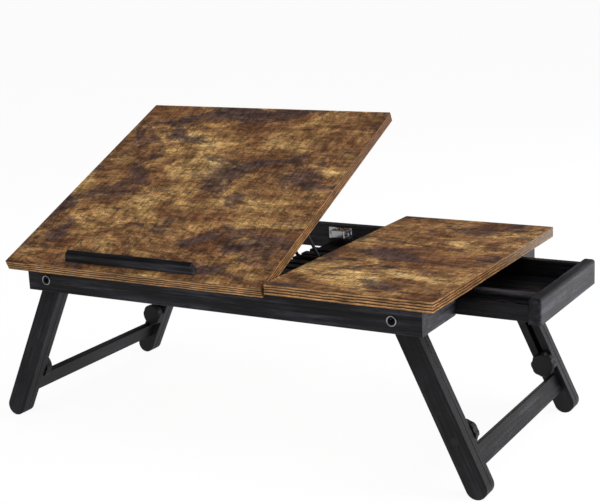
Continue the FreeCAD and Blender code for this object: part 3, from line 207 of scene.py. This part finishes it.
# Dark woods by name, direction of the grain, seed, stain and nodes
DARK_WOODS = (
    ("wood_along_x", ALONG_X, 0.3, RAIL_STAIN, ("front_rail", "back_rail", "stop_bar")),
    ("wood_drawer_sides", ALONG_X, 1.9, DRAWER_STAIN, (
        "drawer_far_side", "drawer_near_side", "drawer_floor",
        "drawer_guide_near", "drawer_guide_far",
    )),
    ("wood_divider", ALONG_X, 2.2, DIVIDER_STAIN, ("drawer_divider",)),
    ("wood_drawer_back", ALONG_Y, 3.8, DRAWER_STAIN, ("drawer_back", "drawer_stop_block")),
    ("wood_along_y", ALONG_Y, 2.7, RAIL_STAIN, (
        "left_end_rail", "right_end_rail_front", "right_end_rail_back",
        "prop_rack", "top_batten", "drawer_front",
    )),
    ("wood_crossbars", ALONG_Y, 6.2, LEG_STAIN, ("left_crossbar", "right_crossbar")),
    ("wood_left_leg", ALONG_LEFT_LEG, 4.4, LEG_STAIN, (
        "left_front_leg", "left_back_leg", "left_front_extension", "left_back_extension",
    )),
    ("wood_right_leg", ALONG_RIGHT_LEG, 5.6, LEG_STAIN, (
        "right_front_leg", "right_back_leg", "right_front_extension", "right_back_extension",
    )),
)

# Metals by name, colour, least roughness and nodes, with their fine wear
METAL_WEAR = Finish(Pattern(900, detail=3), 0.1, (0.00002, 0.2))
METALS = (
    ("chrome", srgb(222, 224, 228), 0.08, ("catch_housing", "catch_bolt", "catch_keeper")),
    ("steel", srgb(176, 178, 182), 0.25, (
        "frame_screws", "pivot_washers", "pivot_nuts",
        "left_hinge_frame_leaf", "right_hinge_frame_leaf",
        "left_hinge_panel_leaf", "right_hinge_panel_leaf",
        "hinge_pins", "hinge_frame_screws", "hinge_panel_screws", "panel_screws",
        "prop_bracket_left", "prop_bracket_right", "left_guide_pins", "right_guide_pins",
    )),
    ("dark_steel", srgb(66, 66, 70), 0.3, ("left_clamp_bolts", "right_clamp_bolts")),
)

# Heads of the leg bolts, from the middle of the socket to the rim, by share of the radius
BOLT_COLOURS = (
    (0.30, srgb(12, 12, 13)),
    (0.35, srgb(190, 191, 194)),
    (0.42, srgb(24, 24, 26)),
    (0.74, srgb(30, 30, 32)),
    (0.82, srgb(226, 227, 230)),
)
BOLT_ROUGHNESS = 0.15
BOLT_WEAR_ROUGHNESS = 0.15

# Black coat of the runners and the wire, black plastic of the knobs, and bare dowel wood
COAT = Finish(Pattern(1500, detail=2), 0.2, (0.00003, 0.3))
COAT_COLOUR = srgb(24, 24, 26)
COAT_ROUGHNESS = 0.35
PLASTIC = Finish(Pattern(2200, detail=2), 0.2, (0.00004, 0.35))
PLASTIC_COLOUR = srgb(20, 20, 22)
PLASTIC_ROUGHNESS = 0.4
PALE_GRAIN = Pattern(1.0, (300, 300, 300), 3)
PALE_COLOURS = ((0.3, srgb(166, 132, 90)), (0.7, srgb(198, 166, 122)))
PALE_ROUGHNESS = 0.6
PALE_RELIEF = (0.0001, 0.3)


class Tree:
    """A node tree with short calls for the nodes used here."""

    def __init__(self, tree):
        self.tree = tree

    def node(self, kind, **settings):
        made = self.tree.nodes.new(kind)
        for key, value in settings.items():
            setattr(made, key, value)
        return made

    def link(self, source, target):
        self.tree.links.new(source, target)

    def feed(self, target, value):
        """Give an input a number, a colour or another node's output."""
        if isinstance(value, bpy.types.NodeSocket):
            self.link(value, target)
        else:
            target.default_value = value

    def along(self, vector, direction):
        """How far a vector points in a direction."""
        made = self.node("ShaderNodeVectorMath", operation="DOT_PRODUCT")
        self.link(vector, made.inputs[0])
        made.inputs[1].default_value = direction
        return made.outputs["Value"]

    def spread(self, value, source, target, interpolation="LINEAR"):
        """A value of the source range, moved to the target range and kept inside it."""
        made = self.node("ShaderNodeMapRange", interpolation_type=interpolation)
        self.link(value, made.inputs["Value"])
        for name, bounds in (("From", source), ("To", target)):
            made.inputs[f"{name} Min"].default_value = bounds[0]
            made.inputs[f"{name} Max"].default_value = bounds[1]
        return made.outputs["Result"]

    def choose(self, factor, first, second):
        """The first number, or the second where the factor is 1."""
        made = self.node("ShaderNodeMix", data_type="FLOAT")
        self.feed(made.inputs["Factor"], factor)
        self.feed(made.inputs[2], first)
        self.feed(made.inputs[3], second)
        return made.outputs[0]


class Shader(Tree):
    """The node tree of a new material."""

    def __init__(self, name):
        self.material = bpy.data.materials.new(name)
        self.material.use_nodes = True
        super().__init__(self.material.node_tree)
        self.principled = self.tree.nodes["Principled BSDF"]

    def place(self, rotation=(0, 0, 0), shift=(0, 0, 0)):
        """Object coordinates, shifted and then turned."""
        moved = self.shift(self.node("ShaderNodeTexCoord").outputs["Object"], shift)
        return self.turn(moved, "POINT", rotation)

    def shift(self, vector, distance):
        made = self.node("ShaderNodeVectorMath", operation="ADD")
        self.link(vector, made.inputs[0])
        made.inputs[1].default_value = distance
        return made.outputs[0]

    def turn(self, vector, kind, rotation):
        made = self.node("ShaderNodeMapping", vector_type=kind)
        self.link(vector, made.inputs["Vector"])
        made.inputs["Rotation"].default_value = [math.radians(angle) for angle in rotation]
        return made.outputs[0]

    def noise(self, vector, pattern):
        if pattern.stretch:
            stretched = self.node("ShaderNodeVectorMath", operation="MULTIPLY")
            self.link(vector, stretched.inputs[0])
            stretched.inputs[1].default_value = pattern.stretch
            vector = stretched.outputs[0]
        made = self.node("ShaderNodeTexNoise")
        self.link(vector, made.inputs["Vector"])
        made.inputs["Scale"].default_value = pattern.scale
        made.inputs["Detail"].default_value = pattern.detail
        made.inputs["Roughness"].default_value = pattern.roughness
        made.inputs["Distortion"].default_value = pattern.distortion
        return made.outputs["Fac"]

    def ramp(self, factor, stops):
        """Colours along a factor, given as (position, colour or grey)."""
        made = self.node("ShaderNodeValToRGB")
        elements = made.color_ramp.elements
        while len(elements) < len(stops):
            elements.new(0.5)
        for element, (position, colour) in zip(elements, stops):
            element.position = position
            element.color = colour if isinstance(colour, tuple) else (colour, colour, colour, 1)
        self.link(factor, made.inputs["Fac"])
        return made.outputs["Color"]

    def mix(self, factor, first, second, blend="MIX"):
        made = self.node("ShaderNodeMix", data_type="RGBA", blend_type=blend)
        self.feed(made.inputs["Factor"], factor)
        self.feed(made.inputs[6], first)
        self.feed(made.inputs[7], second)
        return made.outputs[2]

    def shade(self, colour, factor, share=1.0):
        """A colour multiplied by a factor, in full or by a share."""
        return self.mix(share, colour, factor, "MULTIPLY")

    def math(self, operation, first, second=0.0):
        made = self.node("ShaderNodeMath", operation=operation)
        self.feed(made.inputs[0], first)
        self.feed(made.inputs[1], second)
        return made.outputs[0]

    def weigh(self, value, weight, base):
        """A base value, plus another value times its weight."""
        return self.math("ADD", self.math("MULTIPLY", value, weight), base)

    def sink(self, height, mask, depth):
        """A relief's height, less where a mask is set."""
        return self.math("SUBTRACT", height, self.math("MULTIPLY", mask, depth))

    def parts_of(self, vector):
        made = self.node("ShaderNodeSeparateXYZ")
        self.link(vector, made.inputs[0])
        return made.outputs

    def bump(self, height, relief):
        made = self.node("ShaderNodeBump")
        made.inputs["Distance"].default_value, made.inputs["Strength"].default_value = relief
        self.link(height, made.inputs["Height"])
        self.link(made.outputs["Normal"], self.principled.inputs["Normal"])

    def set(self, name, value):
        self.feed(self.principled.inputs[name], value)


def seeded(seed, step):
    """A shift that gives each material its own part of the patterns."""
    return tuple(seed * share for share in step)


def printed_face(s, spot):
    """Rustic print of a board: its colour, its grain strokes and its cracks."""
    colour = s.ramp(s.noise(spot, CLOUDS), CLOUD_COLOURS)
    colour = s.mix(s.ramp(s.noise(spot, REDS), RED_SHARE), colour, RED_COLOUR)
    colour = s.mix(s.ramp(s.noise(spot, STAINS), STAIN_SHARE), colour, STAIN_COLOUR)
    strokes = s.noise(spot, STROKES)
    colour = s.shade(colour, s.ramp(strokes, STROKE_SHADE))
    saw_marks = s.ramp(s.noise(spot, SAW_MARKS), SAW_MARK_SHADE)
    colour = s.shade(colour, saw_marks, SAW_MARK_SHARE)
    crack_line = s.math("ABSOLUTE", s.math("SUBTRACT", s.noise(spot, CRACKS), NOISE_MIDDLE))
    cracks = s.ramp(crack_line, CRACK_SHARE)
    broken = s.ramp(s.noise(spot, CRACK_BREAKS), CRACK_BREAK_SHARE)
    colour = s.mix(s.math("MULTIPLY", cracks, broken), colour, CRACK_COLOUR)
    colour = s.mix(s.ramp(s.noise(spot, SPECKS), SPECK_SHARE), colour, SPECK_COLOUR)
    return colour, strokes, cracks


def edge_band(s, flat, board, tilt, far_painted_light):
    """Colour of a board's edge band, with dark lines that waver a little, and painted light at
    its far end.
    """
    angle = math.radians(tilt)
    corners = [vertex.co for vertex in nodes[board].data.vertices]
    heights = [corner.z * math.cos(angle) - corner.y * math.sin(angle) for corner in corners]
    depths = [corner.y * math.cos(angle) + corner.z * math.sin(angle) for corner in corners]
    spot = s.parts_of(flat)
    waver = s.math("SUBTRACT", s.noise(flat, BAND_WAVER), NOISE_MIDDLE)
    waver = s.math("MULTIPLY", waver, BAND_WAVER_HEIGHT)
    height = s.math("ADD", s.math("SUBTRACT", spot[2], min(heights)), waver)
    band = s.ramp(s.math("DIVIDE", height, BOARD_THICKNESS), BAND_COLOURS)
    fibre = s.ramp(s.noise(flat, BAND_FIBRE), BAND_FIBRE_SHADE)
    smudges = s.ramp(s.noise(flat, BAND_SMUDGES), BAND_SMUDGE_SHADE)
    band = s.shade(s.shade(band, fibre), smudges, BAND_SMUDGE_SHARE)
    # Painted light: towards the far end the band blends into the given tone, a painted highlight
    # on the fixed board and painted shade on the tilted one.
    depth_share = s.spread(spot[1], (min(depths), max(depths)), (0.0, 1.0))
    far_painted_band = s.shade(far_painted_light, fibre, FAR_PAINTED_LIGHT_FIBRE_SHARE)
    return s.mix(s.ramp(depth_share, FAR_PAINTED_LIGHT_SHARE), band, far_painted_band)


def board_material(name, board, tilt, seed, far_painted_light):
    """Printed face with a lined edge band, for a board tilted about X. The band's left and right
    edges get painted shade.
    """
    s = Shader(name)
    rotation = (-tilt, 0, 0)
    flat = s.place(rotation)
    colour, strokes, cracks = printed_face(s, s.shift(flat, seeded(seed, PRINT_SEED_STEP)))
    band = edge_band(s, flat, board, tilt, far_painted_light)
    normal = s.turn(s.node("ShaderNodeTexCoord").outputs["Normal"], "NORMAL", rotation)
    facing = s.parts_of(normal)
    # Painted shade: the band is darker on the faces that look along X, its left and right edges.
    painted_shade_sides = s.ramp(s.math("ABSOLUTE", facing[0]), IS_ALIGNED)
    band = s.mix(painted_shade_sides, band, s.shade(band, SIDE_BAND_PAINTED_SHADE))
    upright = s.math("ABSOLUTE", facing[2])
    colour = s.mix(s.ramp(upright, IS_ALIGNED), band, colour)
    s.set("Base Color", s.mix(s.ramp(upright, SEAM_SHARE), colour, SEAM_COLOUR))
    s.set("Roughness", s.weigh(strokes, BOARD_STROKE_ROUGHNESS, BOARD_ROUGHNESS))
    s.set("Specular IOR Level", BOARD_SPECULAR)
    s.bump(s.sink(strokes, cracks, BOARD_CRACK_DEPTH), BOARD_RELIEF)
    return s.material


def dark_wood(name, direction, seed, stain):
    """Near-black stained wood with grain along a direction."""
    s = Shader(name)
    base, light = stain
    turn = Vector(direction).normalized().to_track_quat("X", "Z").inverted().to_euler()
    rotation = [math.degrees(angle) for angle in turn]
    spot = s.place(rotation, seeded(seed, WOOD_SEED_STEP))
    grain = s.noise(spot, GRAIN)
    clouds = s.math("MULTIPLY", s.noise(spot, GRAIN_CLOUDS), GRAIN_CLOUD_SHARE)
    tones = (srgb(*[value * GRAIN_DARKEST for value in base]), srgb(*base), srgb(*light))
    colour = s.ramp(s.weigh(grain, 1 - GRAIN_CLOUD_SHARE, clouds), tuple(zip(GRAIN_STOPS, tones)))
    lines = s.ramp(s.noise(spot, GRAIN_LINES), GRAIN_LINE_SHADE)
    colour = s.shade(colour, lines, GRAIN_LINE_SHARE)
    pores = s.ramp(s.noise(spot, PORES), PORE_SHARE)
    s.set("Base Color", s.mix(pores, colour, PORE_COLOUR))
    s.set("Roughness", s.weigh(grain, WOOD_GRAIN_ROUGHNESS, WOOD_ROUGHNESS))
    s.set("Specular IOR Level", WOOD_SPECULAR)
    s.bump(s.sink(grain, pores, PORE_DEPTH), WOOD_RELIEF)
    return s.material


def even_surface(name, colour, roughness, finish, metallic=0.0):
    """Even colour with a fine finish in its gloss and relief."""
    s = Shader(name)
    grain = s.noise(s.place(), finish.pattern)
    s.set("Base Color", colour)
    s.set("Metallic", metallic)
    s.set("Roughness", s.weigh(grain, finish.roughness, roughness))
    s.bump(grain, finish.relief)
    return s.material


def pivot_bolt_metal():
    """Dark dished bolt heads with a bright worn rim and socket edge."""
    s = Shader("pivot_bolt_metal")
    low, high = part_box("pivot_bolts")
    radius = (high.z - low.z) / 2
    half_span = (high.x - low.x) / 2 - radius
    spot = s.parts_of(s.place(shift=-(low + high) / 2))
    aside = s.math("SUBTRACT", s.math("ABSOLUTE", spot[0]), half_span)
    squares = s.math("ADD", s.math("POWER", aside, 2.0), s.math("POWER", spot[2], 2.0))
    reach = s.math("DIVIDE", s.math("SQRT", squares), radius)
    wear = s.noise(s.place(), METAL_WEAR.pattern)
    s.set("Base Color", s.ramp(reach, BOLT_COLOURS))
    s.set("Metallic", 1.0)
    s.set("Roughness", s.weigh(wear, BOLT_WEAR_ROUGHNESS, BOLT_ROUGHNESS))
    s.bump(wear, METAL_WEAR.relief)
    return s.material


def pale_wood():
    """Bare wood of the dowels and the peg."""
    s = Shader("pale_wood")
    grain = s.noise(s.place(), PALE_GRAIN)
    s.set("Base Color", s.ramp(grain, PALE_COLOURS))
    s.set("Roughness", PALE_ROUGHNESS)
    s.bump(grain, PALE_RELIEF)
    return s.material


def paint(material, *names):
    """Give CAD nodes a material."""
    for name in names:
        mesh = nodes[name].data
        mesh.materials.clear()
        mesh.materials.append(material)


def paint_all():
    # The far tones given here are painted light: a highlight on the fixed board, shade on the
    # tilted one.
    paint(board_material("fixed_board", "fixed_top", 0, FIXED_SEED, FIXED_FAR_PAINTED_HIGHLIGHT), "fixed_top")
    paint(board_material("tilted_board", "tilting_top", TILT_ANGLE, TILTED_SEED, TILTED_FAR_PAINTED_SHADE),
          "tilting_top")
    for name, direction, seed, stain, names in DARK_WOODS:
        paint(dark_wood(name, direction, seed, stain), *names)
    for name, colour, roughness, names in METALS:
        paint(even_surface(name, colour, roughness, METAL_WEAR, metallic=1.0), *names)
    paint(pivot_bolt_metal(), "pivot_bolts")
    paint(even_surface("black_sheet_metal", COAT_COLOUR, COAT_ROUGHNESS, COAT),
          "drawer_runner_near", "drawer_runner_far", "prop_wire")
    paint(even_surface("black_plastic", PLASTIC_COLOUR, PLASTIC_ROUGHNESS, PLASTIC),
          "left_front_knob", "left_back_knob", "right_front_knob", "right_back_knob")
    paint(pale_wood(), "frame_dowels", "drawer_stop_peg")


def make_camera():
    """Camera at the photograph's angle."""
    azimuth, elevation, roll = (
        math.radians(angle) for angle in (CAMERA_AZIMUTH, CAMERA_ELEVATION, CAMERA_ROLL)
    )
    ahead = Vector((
        -math.sin(azimuth) * math.cos(elevation),
        math.cos(azimuth) * math.cos(elevation),
        -math.sin(elevation),
    ))
    level = Vector((math.cos(azimuth), math.sin(azimuth), 0))
    upright = level.cross(ahead)
    right = level * math.cos(roll) + upright * math.sin(roll)
    up = upright * math.cos(roll) - level * math.sin(roll)
    data = bpy.data.cameras.new("camera")
    data.sensor_width = SENSOR_WIDTH
    data.lens = CAMERA_FOCAL_PIXELS * SENSOR_WIDTH / IMAGE_WIDTH
    data.clip_end = CAMERA_CLIP_END
    camera = bpy.data.objects.new("camera", data)
    turn = Matrix((right, up, -ahead)).transposed().to_4x4()
    camera.matrix_world = Matrix.Translation(CAMERA_SPOT) @ turn
    scene.collection.objects.link(camera)
    scene.camera = camera


def make_lights():
    """Round lamps that light the stand but aren't seen in its gloss."""
    for name, spot, size, power in LAMPS:
        data = bpy.data.lights.new(name, "AREA")
        data.shape = "DISK"
        data.size = size
        data.energy = power
        lamp = bpy.data.objects.new(name, data)
        lamp.location = spot
        lamp.visible_glossy = False
        aim = Vector(LIT_SPOT) - Vector(spot)
        lamp.rotation_euler = aim.to_track_quat("-Z", "Y").to_euler()
        scene.collection.objects.link(lamp)


def make_world():
    """White backdrop, and a studio that is lit from the right and darker on the other sides."""
    world = bpy.data.worlds.new("studio")
    scene.world = world
    world.use_nodes = True
    world.node_tree.nodes.clear()
    w = Tree(world.node_tree)
    output = w.node("ShaderNodeOutputWorld")
    path = w.node("ShaderNodeLightPath").outputs
    side = w.along(w.node("ShaderNodeTexCoord").outputs["Generated"], BACKDROP_BRIGHT_SIDE)
    light, reflected = (
        w.spread(side, BACKDROP_RANGE, strengths, "SMOOTHSTEP")
        for strengths in (BACKDROP_LIGHT, BACKDROP_REFLECTED)
    )
    unseen = w.choose(path["Is Glossy Ray"], light, reflected)
    background = w.node("ShaderNodeBackground")
    background.inputs["Color"].default_value = (1, 1, 1, 1)
    w.link(w.choose(path["Is Camera Ray"], unseen, BACKDROP_SEEN), background.inputs["Strength"])
    w.link(background.outputs[0], output.inputs["Surface"])


def make_floor():
    """Pale floor that shows nearly white and keeps a faint shadow."""
    bpy.ops.mesh.primitive_plane_add(size=FLOOR_SIZE, location=(0, 0, 0))
    floor = bpy.context.object
    floor.name = "floor"
    s = Shader("floor")
    s.set("Base Color", FLOOR_COLOUR)
    s.set("Roughness", FLOOR_ROUGHNESS)
    s.set("Specular IOR Level", 0.0)
    path = s.node("ShaderNodeLightPath").outputs
    side = s.along(s.place(), FLOOR_BRIGHT_SIDE)
    reflected = s.spread(side, FLOOR_RANGE, FLOOR_REFLECTED)
    seen = s.math("MULTIPLY", path["Is Camera Ray"], FLOOR_SEEN)
    glow = s.node("ShaderNodeEmission")
    s.link(s.math("MAXIMUM", reflected, seen), glow.inputs["Strength"])
    mixed = s.node("ShaderNodeMixShader")
    seen_share = s.math("MULTIPLY", path["Is Camera Ray"], FLOOR_SEEN_SHARE)
    s.link(s.weigh(path["Is Glossy Ray"], FLOOR_REFLECTED_SHARE, seen_share), mixed.inputs[0])
    s.link(s.principled.outputs[0], mixed.inputs[1])
    s.link(glow.outputs[0], mixed.inputs[2])
    s.link(mixed.outputs[0], s.tree.nodes["Material Output"].inputs["Surface"])
    floor.data.materials.append(s.material)


paint_all()
make_camera()
make_world()
make_floor()
make_lights()
scene.view_settings.view_transform = "Standard"
